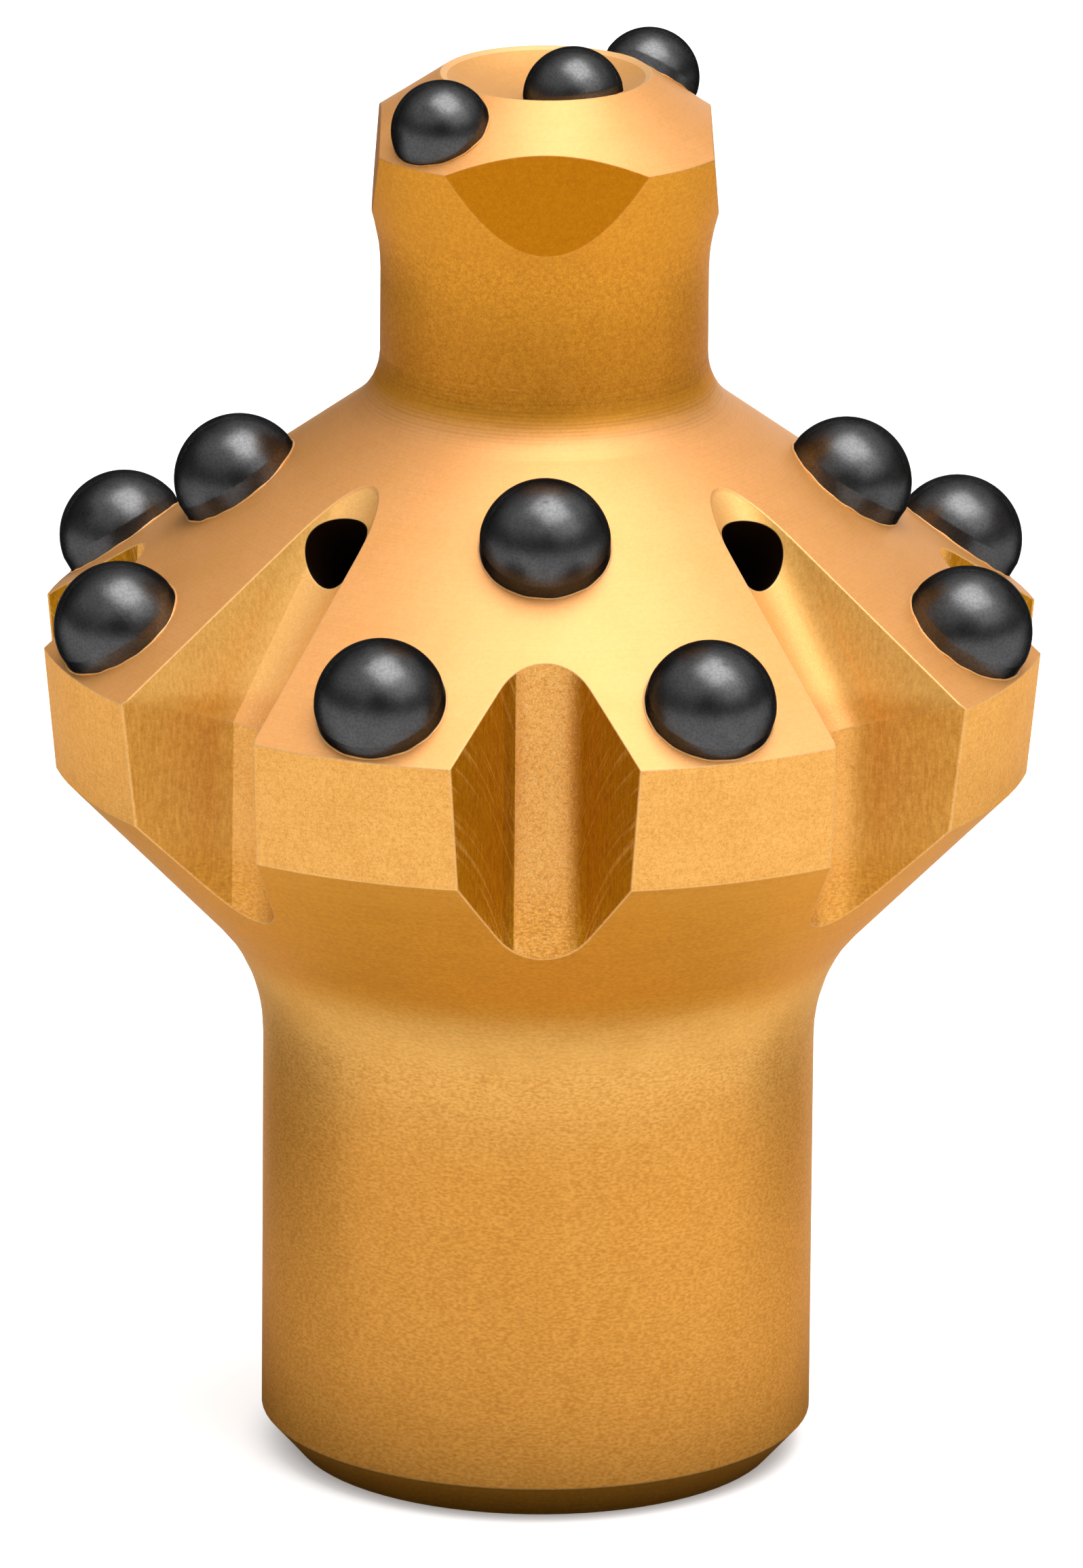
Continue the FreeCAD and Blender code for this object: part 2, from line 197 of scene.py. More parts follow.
steelFinish = {
    "colour": (0.98, 0.50, 0.120, 1.0),
    "fleckColour": (1.0, 0.66, 0.28, 1.0),
    "pitColour": (0.30, 0.12, 0.012, 1.0),
    "lineColour": (0.86, 0.50, 0.13, 1.0),
    "edgeHighlightColour": (1.0, 0.74, 0.38, 1.0),
    "boreShadeColour": (0.016, 0.006, 0.002, 1.0),
    "darkShade": (0.70, 0.52, 0.32, 1.0),
    "paleShade": (1.28, 1.38, 1.62, 1.0),
    "grazingTint": (0.80, 0.50, 0.16, 1.0),
    "specular": 0.12,
    "metallic": 0.55,
    "coat": 0.12,
    "faceCoat": 0.9,
    "coatRoughness": 0.46,
    "roughness": 0.44,
    "flatRoughness": 0.38,
    "faceRoughness": 0.08,
    "grainRoughness": 0.12,
    "edgeRadius": 0.00026,
    "edgeHighlightBetween": (0.995, 0.93),
    "edgeHighlightShare": (0.62, 0.15),
    "lipHighlightShare": 0.35,
}

# The colours laid over the first one, zone by zone in this order, and how fully
steelTones = [
    {"zone": "shank", "share": 1.0, "colour": (0.88, 0.405, 0.070, 1.0)},
    # The pilot's own deeper tone, and painted shade on the faces that look down
    {"zone": "pilotToneAndUnderShade", "share": 1.0, "colour": (0.83, 0.357, 0.029, 1.0)},
    # Faces that look up get a darker tone of their own, set against the strong light from above: painted
    # shade
    {"zone": "upward", "share": 1.0, "colour": (0.82, 0.378, 0.105, 1.0)},
    # Painted shade in the hollow dish on top of the pilot
    {"zone": "dish", "share": 1.0, "colour": (0.74, 0.365, 0.095, 1.0)},
    # Painted highlight: a pale band on the skirt just under the flare
    {"zone": "shoulderHighlight", "share": 0.80, "colour": (1.0, 0.56, 0.145, 1.0)},
    # Painted shade in the neck, where the pilot rises from the face
    {"zone": "neckShade", "share": 0.60, "colour": (0.42, 0.150, 0.004, 1.0)},
    {"zone": "cloud", "share": 0.18, "colour": (0.72, 0.30, 0.034, 1.0)},
    # The pilot's flats: partly their own ground finish, partly painted shade
    {"zone": "flat", "share": 1.0, "colour": (0.64, 0.225, 0.006, 1.0)},
    {"zone": "shadedFlank", "share": 1.0, "colour": (0.45, 0.186, 0.004, 1.0)},
    {"zone": "groove", "share": 0.50, "colour": (1.0, 0.60, 0.17, 1.0)},
    # Painted shade in a strip beside the flutes' step
    {"zone": "stripShade", "share": 0.80, "colour": (0.36, 0.145, 0.006, 1.0)},
]

# Heights and radii between which a zone comes in; one with two pairs goes out over the second
steelZones = {
    "head": ((0.0575, 0.0585), (0.1040, 0.1050)),
    "neckShade": ((0.1075, 0.1125), (0.1130, 0.1290)),
    "fillet": ((0.1065, 0.1095), (0.1110, 0.1150)),
    "shoulderHighlight": ((0.034, 0.050), (0.0500, 0.0555)),
    # The dish's lip, which gets a painted highlight
    "lip": ((0.00968, 0.00975), (0.01030, 0.01040)),
    "dish": (0.00965, 0.00972),
    "top": (0.1340, 0.1345),
    "flats": (0.1215, 0.1220),
    "grooves": (0.0835, 0.0860),
    "holes": (0.070, 0.072),
    "pilot": (0.100, 0.112),
    "shank": (0.066, 0.072),
    # Over these heights the painted edge highlight fades out, up the pilot
    "edgeHighlightFade": (0.104, 0.110),
    "milledDepth": (0.0001, 0.0003),
    "holeWall": (0.00002, 0.00009),
    "axis": 0.0005,
}

# How far a surface faces a way, as a share of its normal, where a zone comes in or goes out
steelFacings = {
    "trailing": (0.59, 0.62),
    "leading": (0.38, 0.80),
    "stripShade": (0.80, 0.84),
    "upright": (0.15, 0.35),
    "upward": (0.30, 0.62),
    "downward": (-0.2, -0.5),
    "downwardShare": 0.8,
    "flatLean": 0.087,
    "flatSpread": (0.025, 0.040),
    "diagonal": (0.05, 0.11),
}

# The turned outline of the head, in metres: radius = start + slope * (height - from)
headLines = [
    {"start": 0.0273, "from": 0.05015, "slope": 0.9657},
    {"start": 0.0484, "from": 0.0720, "slope": 0.104},
    {"start": 0.0497, "from": 0.0845, "slope": -1.3764},
]
# The flush holes' axis crosses the groove's floor here, and leans from the upright
flushHole = {"out": 0.02795, "height": 0.09739, "lean": 40.0, "radius": 0.00355}
# Soft clouds in the coating, and how much less the diagonal grooves' flanks are shaded
steelClouds = {"scale": 240.0, "detail": 4.0, "roughness": 0.55, "between": (0.40, 0.68)}
flankShade = {"diagonal": 0.55, "wing": 0.45}


def boreShadeMask(tree, x, y, z):
    # Painted shade inside the flush holes; folding the plan lays all four on one
    foldX = calc(tree, "ABSOLUTE", x)
    foldY = calc(tree, "ABSOLUTE", y)
    out = times(tree, calc(tree, "ADD", foldX, foldY), math.sqrt(0.5))
    aside = times(tree, calc(tree, "SUBTRACT", foldX, foldY), math.sqrt(0.5))
    lean = math.radians(flushHole["lean"])
    offset = flushHole["height"] * math.sin(lean) - flushHole["out"] * math.cos(lean)
    level = calc(tree, "MULTIPLY_ADD", z, -math.sin(lean), offset)
    level = calc(tree, "MULTIPLY_ADD", out, math.cos(lean), level)
    squares = calc(tree, "ADD", times(tree, aside, aside), times(tree, level, level))
    gap = calc(tree, "SUBTRACT", calc(tree, "SQRT", squares), flushHole["radius"])
    wall = ramp(tree, gap, *steelZones["holeWall"], 1.0, 0.0)
    return times(tree, wall, ramp(tree, z, *steelZones["holes"]))


def steelMasks(tree, zones, facings):
    # What lies where on the steel, from the place and the direction of each point
    coordinates = addNode(tree, "ShaderNodeTexCoord").outputs
    place = coordinates["Object"]
    x, y, z = split(tree, place)
    radius = calc(tree, "SQRT", calc(tree, "ADD", times(tree, x, x), times(tree, y, y)))
    radius = calc(tree, "MAXIMUM", radius, zones["axis"])
    sideX = calc(tree, "DIVIDE", x, radius)
    sideY = calc(tree, "DIVIDE", y, radius)
    faceX, faceY, faceZ = split(tree, coordinates["Normal"])
    across = calc(tree, "SUBTRACT", times(tree, faceY, sideX), times(tree, faceX, sideY))

    # Where the surface lies under the turned outline, it was milled
    outline = None
    for line in headLines:
        reach = calc(tree, "MULTIPLY_ADD", z, line["slope"], line["start"] - line["slope"] * line["from"])
        outline = reach if outline is None else calc(tree, "MINIMUM", outline, reach)
    depth = calc(tree, "SUBTRACT", outline, radius)
    milled = times(tree, ramp(tree, depth, *zones["milledDepth"]), band(tree, z, *zones["head"]))
    # The middle of each wing is on an axis, and the flushing grooves lie on the diagonals
    corner = times(tree, sideX, sideY)
    wing = ramp(tree, times(tree, corner, corner), *facings["diagonal"], 1.0, 0.0)
    groove = times(tree, milled, ramp(tree, z, *zones["grooves"]), calc(tree, "SUBTRACT", 1.0, wing))
    # The flutes' flanks lean sideways; the trailing one ends at a step, the other blends in
    trailing = ramp(tree, across, *facings["trailing"])
    leading = ramp(tree, times(tree, across, -1.0), *facings["leading"])
    flank = times(tree, milled, calc(tree, "MAXIMUM", trailing, leading))
    # A darker strip of painted shade runs down beside the step
    stripShade = times(tree, milled, wing, trailing, ramp(tree, across, *facings["stripShade"], 1.0, 0.0))
    # Only the pilot's flats lean back by a few degrees
    tilt = calc(tree, "ABSOLUTE", calc(tree, "SUBTRACT", faceZ, facings["flatLean"]))
    flat = times(tree, ramp(tree, tilt, *facings["flatSpread"], 1.0, 0.0), ramp(tree, z, *zones["flats"]))
    upright = ramp(tree, calc(tree, "ABSOLUTE", faceZ), *facings["upright"], 1.0, 0.0)
    # Faces that look down, for the painted shade under the head
    downward = times(tree, ramp(tree, faceZ, *facings["downward"]), facings["downwardShare"])
    pilot = ramp(tree, z, *zones["pilot"])
    top = ramp(tree, z, *zones["top"])
    cloud = noise(tree, place, steelClouds["scale"], steelClouds["detail"], steelClouds["roughness"])
    shading = calc(tree, "MULTIPLY_ADD", wing, flankShade["wing"], flankShade["diagonal"])
    return {
        "place": place, "x": sideX, "y": sideY, "z": z, "radius": radius,
        "floor": times(tree, milled, calc(tree, "SUBTRACT", 1.0, flank)),
        "flank": flank,
        "shadedFlank": times(tree, flank, shading),
        "fluted": times(tree, flank, wing),
        "flute": times(tree, milled, wing),
        "wing": wing,
        "groove": groove,
        "stripShade": stripShade,
        "flat": flat,
        "boreShade": boreShadeMask(tree, x, y, z),
        "neckShade": band(tree, z, *zones["neckShade"]),
        "fillet": band(tree, z, *zones["fillet"]),
        "shoulderHighlight": band(tree, z, *zones["shoulderHighlight"]),
        "dish": times(tree, top, ramp(tree, radius, *zones["dish"], 1.0, 0.0)),
        "lip": times(tree, top, band(tree, radius, *zones["lip"])),
        "upright": upright,
        "upward": ramp(tree, faceZ, *facings["upward"]),
        "pilotToneAndUnderShade": calc(tree, "MAXIMUM", pilot, downward),
        "pilotWall": times(tree, pilot, upright),
        "shank": ramp(tree, z, *zones["shank"], 1.0, 0.0),
        "cloud": ramp(tree, cloud, *steelClouds["between"]),
        "turned": calc(tree, "SUBTRACT", 1.0, calc(tree, "MAXIMUM", milled, flat), clamp=True),
    }


# Lines left by the turning tool: how fine, and how strong in the neck's fillet and elsewhere
turningMarks = {
    "lines": 2600.0,
    "wander": 0.0006,
    "lean": -0.5,
    "feed": 0.00042,
    "feedShare": 0.16,
    "between": (0.48, 0.72),
    "filletShare": 0.20,
    "share": 0.04,
    "depth": 0.00002,
    "filletStrength": 0.35,
    "strength": 0.10,
}

# Arcs left on the flutes' flanks by the side of the milling cutter
millingMarks = {
    "lines": 1500.0,
    "detail": 3.0,
    "roughness": 0.6,
    "run": 0.06,
    "cutterRadius": 0.030,
    "floor": 0.039,
    "between": (0.53, 0.68),
    "share": 0.38,
    "depth": 0.00005,
    "strength": 0.30,
}


def turningHeight(tree, masks, marks):
    # All round the axis: the tool's even feed, and its unevenness
    along = calc(tree, "MULTIPLY_ADD", masks["radius"], marks["lean"], masks["z"])
    wander = marks["wander"]
    ring = join(tree, times(tree, masks["x"], wander), times(tree, masks["y"], wander), along)
    uneven = noise(tree, ring, marks["lines"])
    feedLine = calc(tree, "SINE", times(tree, along, math.tau / marks["feed"]))
    return calc(tree, "MULTIPLY_ADD", feedLine, marks["feedShare"], uneven)


def millingHeight(tree, masks, marks):
    swing = calc(tree, "SUBTRACT", marks["floor"] + marks["cutterRadius"], masks["radius"])
    rest = calc(tree, "SUBTRACT", marks["cutterRadius"] ** 2, times(tree, swing, swing))
    arc = calc(tree, "SUBTRACT", masks["z"], calc(tree, "SQRT", calc(tree, "MAXIMUM", rest, 0.0)))
    track = join(tree, arc, times(tree, masks["radius"], marks["run"]))
    return noise(tree, track, marks["lines"], marks["detail"], marks["roughness"])


# Mottled grain: fine and soft specks, drawn out round the shank and down the flutes' flanks
steelGrain = {
    "scale": 3400.0,
    "fine": 1.7,
    "soft": 0.6,
    "fineWeight": 1.4,
    "detail": 2.0,
    "roughness": 0.6,
    "dashScale": 4800.0,
    "dashStretch": (0.45, 0.45, 1.0),
    "dashShare": 0.75,
    "streakStretch": (1.0, 1.0, 0.2),
    "streakShare": 0.45,
    "between": (0.28, 0.72),
    "share": 0.27,
    "depth": 0.00003,
    "uprightStrength": 0.45,
    "strength": 0.15,
    "fleckScale": 5100.0,
    "fleckBetween": (0.56, 0.70),
    "wingFlecks": 0.45,
    "flecks": 0.35,
    "pitScale": 5200.0,
    "pitBetween": (0.64, 0.76),
    "uprightPits": 0.22,
    "pits": 0.08,
}

# What the grain's share gains or loses in each zone
grainZones = {
    "upright": 0.22,
    "upward": -0.09,
    "pilotWall": 0.18,
    "flute": 0.16,
    "flank": 0.16,
    "flat": -0.30,
}


def speckle(tree, masks, grain):
    place, texture = masks["place"], (grain["detail"], grain["roughness"])
    fine = noise(tree, place, grain["scale"] * grain["fine"], *texture)
    soft = noise(tree, place, grain["scale"] * grain["soft"], *texture)
    speck = calc(tree, "MULTIPLY_ADD", fine, grain["fineWeight"], soft)
    speck = times(tree, speck, 1.0 / (1.0 + grain["fineWeight"]))
    # A noise read at a squeezed place is drawn out the other way
    squeezed = vectorCalc(tree, "MULTIPLY", place, grain["dashStretch"])[0]
    dash = noise(tree, squeezed, grain["dashScale"])
    squeezed = vectorCalc(tree, "MULTIPLY", place, grain["streakStretch"])[0]
    streak = noise(tree, squeezed, grain["scale"], *texture)
    for drawn, share in ((dash, times(tree, masks["shank"], grain["dashShare"])),
                         (streak, times(tree, masks["flank"], grain["streakShare"]))):
        speck = calc(tree, "MULTIPLY_ADD", calc(tree, "SUBTRACT", drawn, speck), share, speck)
    return speck


def grainTone(tree, masks, grain, finish, speck, tone):
    share = grain["share"]
    for zone, change in grainZones.items():
        share = calc(tree, "MULTIPLY_ADD", masks[zone], change, share, clamp=True)
    shade = blendColour(tree, ramp(tree, speck, *grain["between"]), finish["darkShade"], finish["paleShade"])
    tone = blendColour(tree, share, tone, shade, "MULTIPLY")
    # A few bright flecks on the flutes' floors, and tiny dark pits on every wall
    fleck = ramp(tree, noise(tree, masks["place"], grain["fleckScale"]), *grain["fleckBetween"])
    share = calc(tree, "MULTIPLY_ADD", masks["wing"], grain["wingFlecks"], grain["flecks"])
    tone = blendColour(tree, times(tree, fleck, masks["floor"], share), tone, finish["fleckColour"])
    pit = ramp(tree, noise(tree, masks["place"], grain["pitScale"]), *grain["pitBetween"])
    share = calc(tree, "MULTIPLY_ADD", masks["upright"], grain["uprightPits"], grain["pits"])
    return blendColour(tree, times(tree, pit, share), tone, finish["pitColour"])


def coatedSteel(finish, grain, turned, milled):
    material, tree, shader = newMaterial("coated_steel")
    masks = steelMasks(tree, steelZones, steelFacings)
    turning = turningHeight(tree, masks, turned)
    milling = millingHeight(tree, masks, milled)
    speck = speckle(tree, masks, grain)

    # Rounded edges; the pale colour laid along them is a painted highlight, less of it on the pilot
    softNormal = softEdges(tree, finish["edgeRadius"])
    flatNormal = addNode(tree, "ShaderNodeNewGeometry").outputs["Normal"]
    alike = vectorCalc(tree, "DOT_PRODUCT", softNormal, flatNormal)["Value"]
    share = ramp(tree, masks["z"], *steelZones["edgeHighlightFade"], *finish["edgeHighlightShare"])
    edge = times(tree, ramp(tree, alike, *finish["edgeHighlightBetween"]), share)

    tone = finish["colour"]
    for layer in steelTones:
        tone = blendColour(tree, times(tree, masks[layer["zone"]], layer["share"]), tone, layer["colour"])
    lines = times(tree, ramp(tree, milling, *milled["between"]), masks["fluted"], milled["share"])
    tone = blendColour(tree, lines, tone, finish["lineColour"])
    share = calc(tree, "MULTIPLY_ADD", masks["fillet"], turned["filletShare"], turned["share"])
    rings = times(tree, ramp(tree, turning, *turned["between"]), share, masks["turned"])
    tone = blendColour(tree, rings, tone, finish["pitColour"])
    tone = grainTone(tree, masks, grain, finish, speck, tone)
    # Painted highlight: a pale colour along the edges
    tone = blendColour(tree, edge, tone, finish["edgeHighlightColour"])
    # Painted highlight round the dish's lip
    tone = blendColour(tree, times(tree, masks["lip"], finish["lipHighlightShare"]), tone, finish["edgeHighlightColour"])
    # Painted shade: the flush holes' insides are near black
    tone = blendColour(tree, masks["boreShade"], tone, finish["boreShadeColour"])

    rough = calc(tree, "MULTIPLY_ADD", speck, finish["grainRoughness"],
                 finish["roughness"] - finish["grainRoughness"] / 2)
    rough = calc(tree, "MULTIPLY_ADD", masks["flat"], finish["flatRoughness"] - finish["roughness"], rough)
    rough = calc(tree, "MULTIPLY_ADD", masks["upward"], finish["faceRoughness"], rough)

    # The thin clear layer on the upward faces is what turns their shine cream
    bare = calc(tree, "SUBTRACT", 1.0, calc(tree, "MAXIMUM", masks["flat"], masks["fluted"]))
    coat = calc(tree, "MULTIPLY_ADD", masks["upward"], finish["faceCoat"] - finish["coat"], finish["coat"])
    coat = calc(tree, "MULTIPLY", coat, bare, clamp=True)

    strength = calc(tree, "MULTIPLY_ADD", masks["upright"], grain["uprightStrength"], grain["strength"])
    normal = bump(tree, speck, grain["depth"], strength, softNormal)
    strength = calc(tree, "MULTIPLY_ADD", masks["fillet"], turned["filletStrength"], turned["strength"])
    normal = bump(tree, turning, turned["depth"], times(tree, masks["turned"], strength), normal)
    normal = bump(tree, milling, milled["depth"], times(tree, masks["fluted"], milled["strength"]), normal)

    feed(tree, shader.inputs["Base Color"], tone)
    feed(tree, shader.inputs["Roughness"], rough)
    feed(tree, shader.inputs["Normal"], normal)
    feed(tree, shader.inputs["Coat Weight"], coat)
    shader.inputs["Metallic"].default_value = finish["metallic"]
    shader.inputs["Specular IOR Level"].default_value = finish["specular"]
    shader.inputs["Specular Tint"].default_value = finish["grazingTint"]
    shader.inputs["Coat Roughness"].default_value = finish["coatRoughness"]
    return material


# Carbide: ground, near-black and satin

carbideFinish = {
    "colour": (0.100, 0.100, 0.101, 1.0),
    "paleColour": (0.124, 0.124, 0.126, 1.0),
    "pitColour": (0.049, 0.049, 0.050, 1.0),
    "edgeTint": (0.05, 0.05, 0.05, 1.0),
    "metallic": 1.0,
    "roughness": 0.33,
    "roughnessSpread": 0.08,
    "edgeRadius": 0.00025,
    "detail": 3.0,
    "grainScale": 4200.0,
    "grainFineness": 0.6,
    "grainBetween": (0.38, 0.66),
    "grainShare": 0.45,
    "grainDepth": 0.00002,
    "grainStrength": 0.40,
    "patchScale": 420.0,
    "patchFineness": 0.55,
    "patchBetween": (0.35, 0.75),
}


def carbide(finish):
    material, tree, shader = newMaterial("carbide")
    place = addNode(tree, "ShaderNodeTexCoord").outputs["Object"]
    grain = noise(tree, place, finish["grainScale"], finish["detail"], finish["grainFineness"])
    patch = noise(tree, place, finish["patchScale"], finish["detail"], finish["patchFineness"])
    patches = ramp(tree, patch, *finish["patchBetween"])
    tone = blendColour(tree, patches, finish["colour"], finish["paleColour"])
    pits = times(tree, ramp(tree, grain, *finish["grainBetween"]), finish["grainShare"])
    tone = blendColour(tree, pits, tone, finish["pitColour"])
    rough = calc(tree, "MULTIPLY_ADD", patch, finish["roughnessSpread"],
                 finish["roughness"] - finish["roughnessSpread"] / 2)
    softNormal = softEdges(tree, finish["edgeRadius"])
    normal = bump(tree, grain, finish["grainDepth"], finish["grainStrength"], softNormal)
    feed(tree, shader.inputs["Base Color"], tone)
    feed(tree, shader.inputs["Roughness"], rough)
    feed(tree, shader.inputs["Normal"], normal)
    shader.inputs["Metallic"].default_value = finish["metallic"]
    shader.inputs["Specular Tint"].default_value = finish["edgeTint"]
    return material


steelMaterial = coatedSteel(steelFinish, steelGrain, turningMarks, millingMarks)
carbideMaterial = carbide(carbideFinish)
for name, part in nodes.items():
    for slot in part.material_slots:
        slot.material = steelMaterial if name == "bit_body" else carbideMaterial
print("stage: materials on the CAD parts")


# Drive thread: a left-hand rope thread ridge on the cavity's wall

threadRidge = {
    "wallRadius": 0.01920,
    "sunk": 0.00005,
    "height": 0.0017,
    "foot": 0.0052,
    "footRun": (0.0004, 0.86),
    "crest": 0.0020,
    "crestRun": (0.0003, 1.25),
    "crestFlat": 0.7,
    "pitch": 0.0159,
    "low": 0.0062,
    "high": 0.0620,
    "stepsPerTurn": 72,
}


def addThreadRidge(ridge):
    mesh = bmesh.new()
    foot, wall = ridge["foot"] / 2, ridge["wallRadius"] + ridge["sunk"]
    crest, inner = ridge["crest"] / 2, ridge["wallRadius"] - ridge["height"]
    # Half of the ridge's section, from the wall to the crest, and then the other half
    half = [(wall, foot), (wall - ridge["footRun"][0], foot * ridge["footRun"][1]),
            (inner + ridge["crestRun"][0], crest * ridge["crestRun"][1]), (inner, crest * ridge["crestFlat"])]
    outline = [(across, -up) for across, up in half] + half[::-1]
    corners = [mesh.verts.new((across, 0.0, ridge["low"] + up)) for across, up in outline]
    start = mesh.faces.new(corners)
    turns = (ridge["high"] - ridge["low"]) / ridge["pitch"]
    steps = round(turns * ridge["stepsPerTurn"])
    rise = Vector((0, 0, (ridge["high"] - ridge["low"]) / steps))
    bmesh.ops.spin(mesh, geom=[start, *start.edges, *start.verts], cent=(0, 0, 0), axis=(0, 0, 1),
                   angle=-turns * math.tau, steps=steps, dvec=rise, use_merge=False, use_duplicate=False)
    bmesh.ops.recalc_face_normals(mesh, faces=mesh.faces)
    piece = addPiece("drive_thread_ridge", mesh, steelMaterial, smooth=True)
    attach(piece, "root")


addThreadRidge(threadRidge)
print("stage: drive thread")


# Socket lips: the burr of steel that each pressed-in button raised round itself

socketLip = {
    "gap": 0.00008,
    "bead": 0.00011,
    "unevenness": 0.00012,
    "waves": 4.0,
    "waveShift": 1600.0,
    "steps": 120,
    "sides": 8,
    "reach": 0.012,
}


def buttonAxis(part):
    # The button is a turned piece, so its axis is the odd one out of its three spreads
    points = np.array([vertex.co[:] for vertex in part.data.vertices])
    middle = points.mean(axis=0)
    spreads, ways = np.linalg.svd(points - middle, full_matrices=False)[1:]
    axis = ways[0] if spreads[0] - spreads[1] > spreads[1] - spreads[2] else ways[2]
    axis = Vector(axis) if axis[2] > 0 else -Vector(axis)
    turn = axis.to_track_quat("Z", "X")
    local = (points - middle) @ np.array(turn.to_matrix())
    low, high = local.min(axis=0), local.max(axis=0)
    centre = Vector(middle) + turn @ Vector(((low[0] + high[0]) / 2, (low[1] + high[1]) / 2, 0.0))
    return centre, turn, (high[0] - low[0]) / 2


def addSocketLip(name, part, steel, lip):
    centre, turn, radius = buttonAxis(part)
    down = turn @ Vector((0, 0, -1))
    ring = radius + lip["gap"]
    mesh = bmesh.new()
    section = bmesh.ops.create_circle(mesh, cap_ends=False, segments=lip["sides"], radius=lip["bead"],
                                      matrix=Matrix.Rotation(math.pi / 2, 4, "X"))
    bmesh.ops.translate(mesh, verts=section["verts"], vec=(ring, 0, 0))
    bmesh.ops.spin(mesh, geom=[*mesh.verts, *mesh.edges], cent=(0, 0, 0), axis=(0, 0, 1),
                   angle=math.tau, steps=lip["steps"], use_merge=True, use_duplicate=False)
    # Each section slides along the button's axis until it lies on the steel
    for vertex in mesh.verts:
        around = math.atan2(vertex.co.y, vertex.co.x)
        side = Vector((math.cos(around), math.sin(around), 0.0))
        above = centre + turn @ (side * ring + Vector((0, 0, lip["reach"])))
        landed = steel.ray_cast(above, down, 2 * lip["reach"])[0]
        wave = noiseField.noise(side * lip["waves"] + Vector((0, 0, radius * lip["waveShift"])))
        lift = lip["reach"] - (landed - above).length + lip["unevenness"] * wave
        vertex.co = centre + turn @ (vertex.co + Vector((0, 0, lift)))
    bmesh.ops.recalc_face_normals(mesh, faces=mesh.faces)
    piece = addPiece(name, mesh, steelMaterial, smooth=True)
    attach(piece, "root")


steelBody = nodes["bit_body"].data
steelTree = BVHTree.FromPolygons([vertex.co for vertex in steelBody.vertices],
                                 [face.vertices[:] for face in steelBody.polygons])
for name, part in nodes.items():
    if "button" in name:
        addSocketLip(f"socket_lip_{name}", part, steelTree, socketLip)
print("stage: socket lips")


# Floor: white where it is seen, dimmer in the metal, and painted dark close round the foot

floorSetup = {
    "size": 14.0,
    "colour": (0.84, 0.84, 0.84, 1.0),
    "shade": (0.0, 0.0, 0.0, 1.0),
    "glow": 0.65,
    "glowBetween": (0.020, 0.030),
    "mirroredGlow": 0.20,
    "mirroredShare": 0.72,
    "dimShare": 0.90,
    "dimBetween": (0.028, 0.065),
}


def rays(tree):
    # Whether the eye sees this point straight, and whether the metal mirrors it
    path = addNode(tree, "ShaderNodeLightPath").outputs
    return path["Is Camera Ray"], calc(tree, "MAXIMUM", path["Is Glossy Ray"], path["Is Transmission Ray"])


def floorMaterial(setup):
    material, tree = emptyMaterial("floor_white")
    seen, mirrored = rays(tree)
    matt = addNode(tree, "ShaderNodeBsdfDiffuse")
    glow = addNode(tree, "ShaderNodeEmission")
    both = addNode(tree, "ShaderNodeAddShader")
    # Close round the foot the floor is painted darker for every ray but the eye's: a painted shadow of the
    # bit, in the metal's reflection and in bounced light
    out = vectorCalc(tree, "LENGTH", addNode(tree, "ShaderNodeTexCoord").outputs["Object"])["Value"]
    near = ramp(tree, out, *setup["dimBetween"], setup["dimShare"], 0.0)
    lit = calc(tree, "SUBTRACT", 1.0, times(tree, near, calc(tree, "SUBTRACT", 1.0, seen)))
    lit = times(tree, lit, calc(tree, "MULTIPLY_ADD", mirrored, setup["mirroredShare"] - 1.0, 1.0))
    feed(tree, matt.inputs["Color"], blendColour(tree, lit, setup["shade"], setup["colour"]))
    # Seen directly, the floor glows less right at the foot: a painted contact shadow
    direct = times(tree, seen, ramp(tree, out, *setup["glowBetween"], 0.0, setup["glow"]))
    strength = calc(tree, "ADD", times(tree, mirrored, setup["mirroredGlow"], lit), direct)
    feed(tree, glow.inputs["Strength"], strength)
    feedAll(tree, both, [matt.outputs[0], glow.outputs[0]])
    # From below the floor is clear, so that the underside of the bit can be looked at
    clear = addNode(tree, "ShaderNodeBsdfTransparent")
    under = addNode(tree, "ShaderNodeNewGeometry").outputs["Backfacing"]
    sides = addNode(tree, "ShaderNodeMixShader")
    feedAll(tree, sides, [under, both.outputs[0], clear.outputs[0]])
    feed(tree, addNode(tree, "ShaderNodeOutputMaterial").inputs["Surface"], sides.outputs[0])
    return material


def addFloor(setup):
    mesh = bmesh.new()
    bmesh.ops.create_grid(mesh, x_segments=1, y_segments=1, size=setup["size"] / 2)
    floor = addPiece("floor", mesh, floorMaterial(setup))


# Black cards round the shank and the pilot, which darken the sides of the turned walls; unseen themselves
blackCards = [
    {"name": "left_low_card", "arc": (-135, -76), "radius": 0.090, "heights": (0.001, 0.046), "tone": 0.12},
    {"name": "left_high_card", "arc": (-135, -88), "radius": 0.090, "heights": (0.092, 0.132), "tone": 0.12},
    {"name": "left_back_card", "arc": (-165, -112), "radius": 0.160, "heights": (0.072, 0.190), "tone": 0.10},
    {"name": "right_low_card", "arc": (86, 128), "radius": 0.095, "heights": (0.001, 0.048), "tone": 0.25},
    {"name": "right_high_card", "arc": (86, 128), "radius": 0.095, "heights": (0.092, 0.130), "tone": 0.25},
]
cardSteps = 24


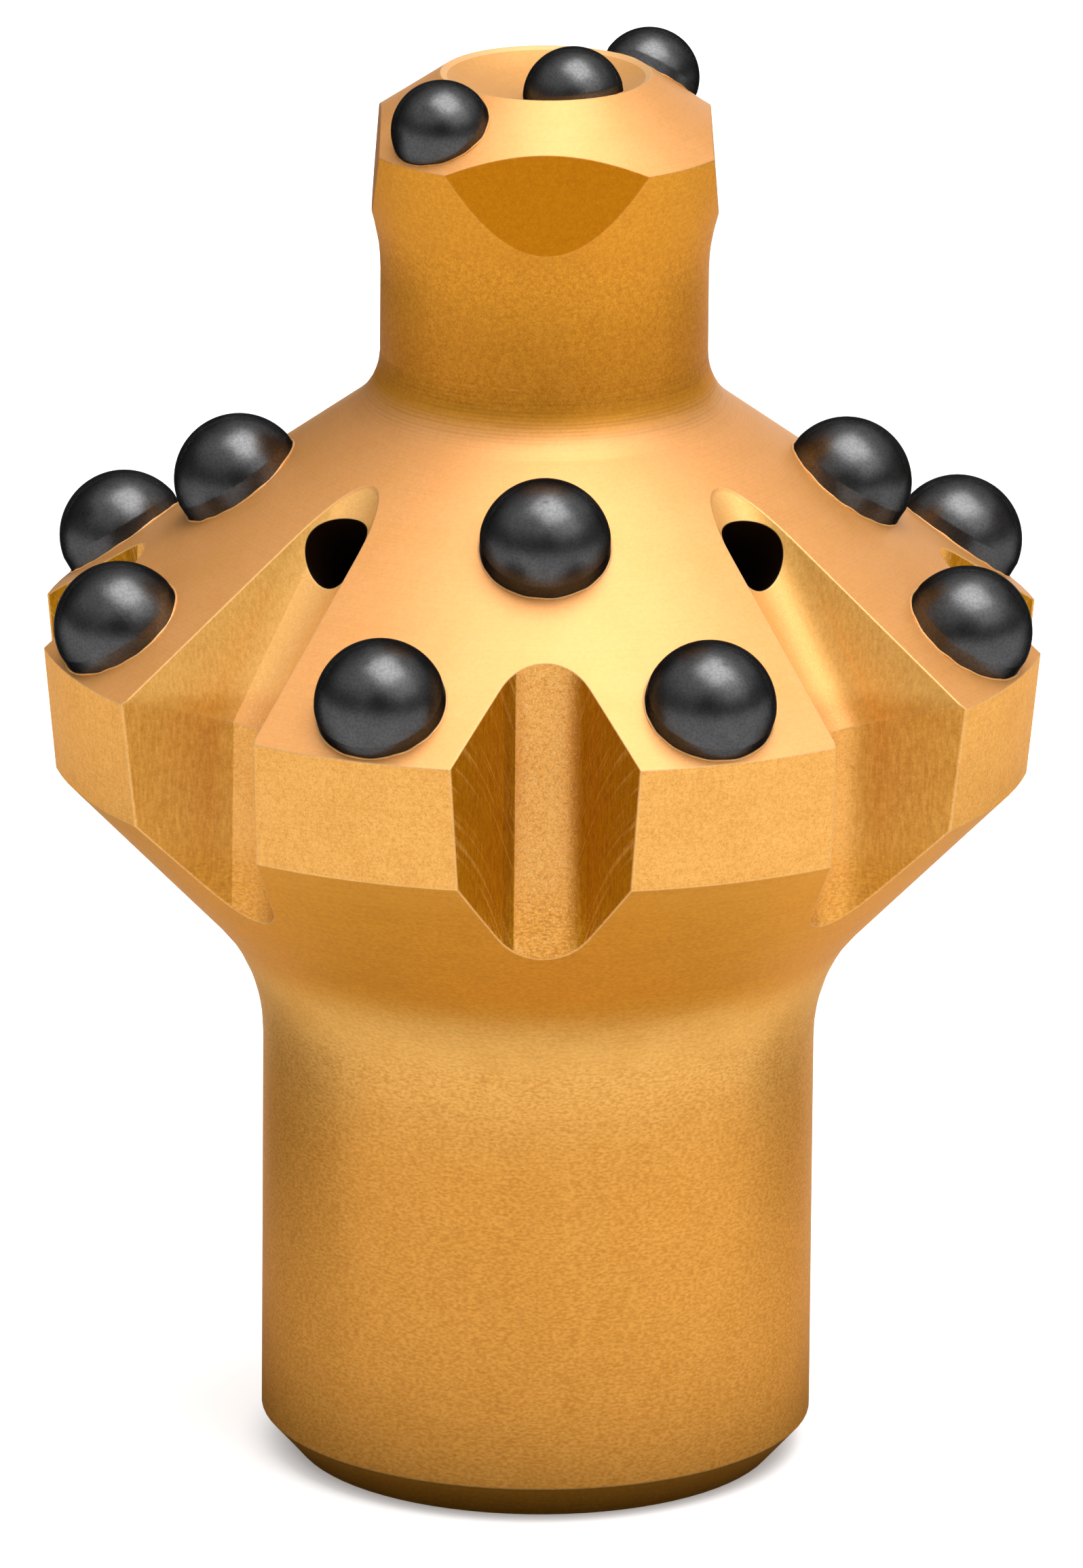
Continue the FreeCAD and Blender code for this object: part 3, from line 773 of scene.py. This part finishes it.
def addCard(card):
    mesh = bmesh.new()
    first, last = (math.radians(angle) for angle in card["arc"])
    side = Vector((math.sin(first), -math.cos(first), 0.0)) * card["radius"]
    ends = [mesh.verts.new(side + Vector((0, 0, height))) for height in card["heights"]]
    edge = mesh.edges.new(ends)
    bmesh.ops.spin(mesh, geom=[edge, *ends], cent=(0, 0, 0), axis=(0, 0, 1), angle=last - first,
                   steps=cardSteps, use_merge=False, use_duplicate=False)
    material, tree, shader = newMaterial(card["name"])
    shader.inputs["Base Color"].default_value = (card["tone"], card["tone"], card["tone"], 1.0)
    shader.inputs["Roughness"].default_value = 1.0
    piece = addPiece(card["name"], mesh, material)
    piece.visible_camera = piece.visible_shadow = False


# The room: white where it is seen, and bright above, dim low down and dark to the far left in the metal
room = {
    "high": 0.85,
    "low": 0.62,
    "mirroredLow": 0.15,
    "horizon": (0.20, 0.65),
    "flagSide": (-0.0093, -0.9550, 0.2966),
    "flagDark": 0.95,
    "flagBetween": (0.88, 0.975),
    "cornerDark": 0.60,
    "cornerLeft": (-0.45, -0.05),
    "cornerBack": (0.15, 0.60),
    "backdropBack": (0.55, 0.85),
    "backdropTop": (0.2, 0.5),
}


def addWorld(setup):
    world = bpy.data.worlds.new("studio")
    scene.world = world
    world.use_nodes = True
    tree = world.node_tree
    tree.nodes.clear()
    direction = addNode(tree, "ShaderNodeTexCoord").outputs["Generated"]
    aside, back, up = split(tree, direction)
    seen, mirrored = rays(tree)
    low = calc(tree, "MULTIPLY_ADD", mirrored, setup["mirroredLow"] - setup["low"], setup["low"])
    level = ramp(tree, up, *setup["horizon"], low, setup["high"])
    corner = times(tree, ramp(tree, aside, *setup["cornerLeft"], setup["cornerDark"], 0.0),
                   ramp(tree, back, *setup["cornerBack"]))
    clearing = calc(tree, "SUBTRACT", 1.0, times(tree, corner, mirrored))
    # A dark flag in front of the bit, which the polished domes show as a spot
    facing = vectorCalc(tree, "DOT_PRODUCT", direction, setup["flagSide"])["Value"]
    flag = ramp(tree, facing, *setup["flagBetween"], 1.0, 1.0 - setup["flagDark"])
    level = times(tree, level, clearing, flag)
    # The white backdrop shows in the metal too
    backdrop = times(tree, ramp(tree, back, *setup["backdropBack"]),
                     ramp(tree, up, *setup["backdropTop"], clearing, 0.0))
    white = calc(tree, "MAXIMUM", seen, times(tree, mirrored, backdrop))
    level = calc(tree, "MULTIPLY_ADD", white, calc(tree, "SUBTRACT", 1.0, level), level)
    light = addNode(tree, "ShaderNodeBackground")
    feed(tree, light.inputs["Strength"], level)
    feed(tree, addNode(tree, "ShaderNodeOutputWorld").inputs["Surface"], light.outputs[0])


# Softboxes well clear of the camera; the brightness is that of their faces
softboxes = [
    {"name": "top_softbox", "place": (0.40, -0.45, 3.0), "size": (2.2, 2.5), "brightness": 4.9},
    {"name": "key_softbox", "place": (1.97, -1.38, 2.40), "size": (2.6, 2.2), "brightness": 0.9},
]
softboxAim = (0, 0, 0.08)


def addSoftbox(box):
    data = bpy.data.lights.new(box["name"], "AREA")
    data.shape = "RECTANGLE"
    data.size, data.size_y = box["size"]
    data.energy = box["brightness"] * math.pi * data.size * data.size_y
    lamp = bpy.data.objects.new(box["name"], data)
    lamp.location = box["place"]
    lamp.rotation_mode = "QUATERNION"
    lamp.rotation_quaternion = (Vector(softboxAim) - Vector(box["place"])).to_track_quat("-Z", "Y")
    lamp.visible_camera = False
    scene.collection.objects.link(lamp)


addFloor(floorSetup)
addWorld(room)
for card in blackCards:
    addCard(card)
for box in softboxes:
    addSoftbox(box)
print("stage: floor and light")
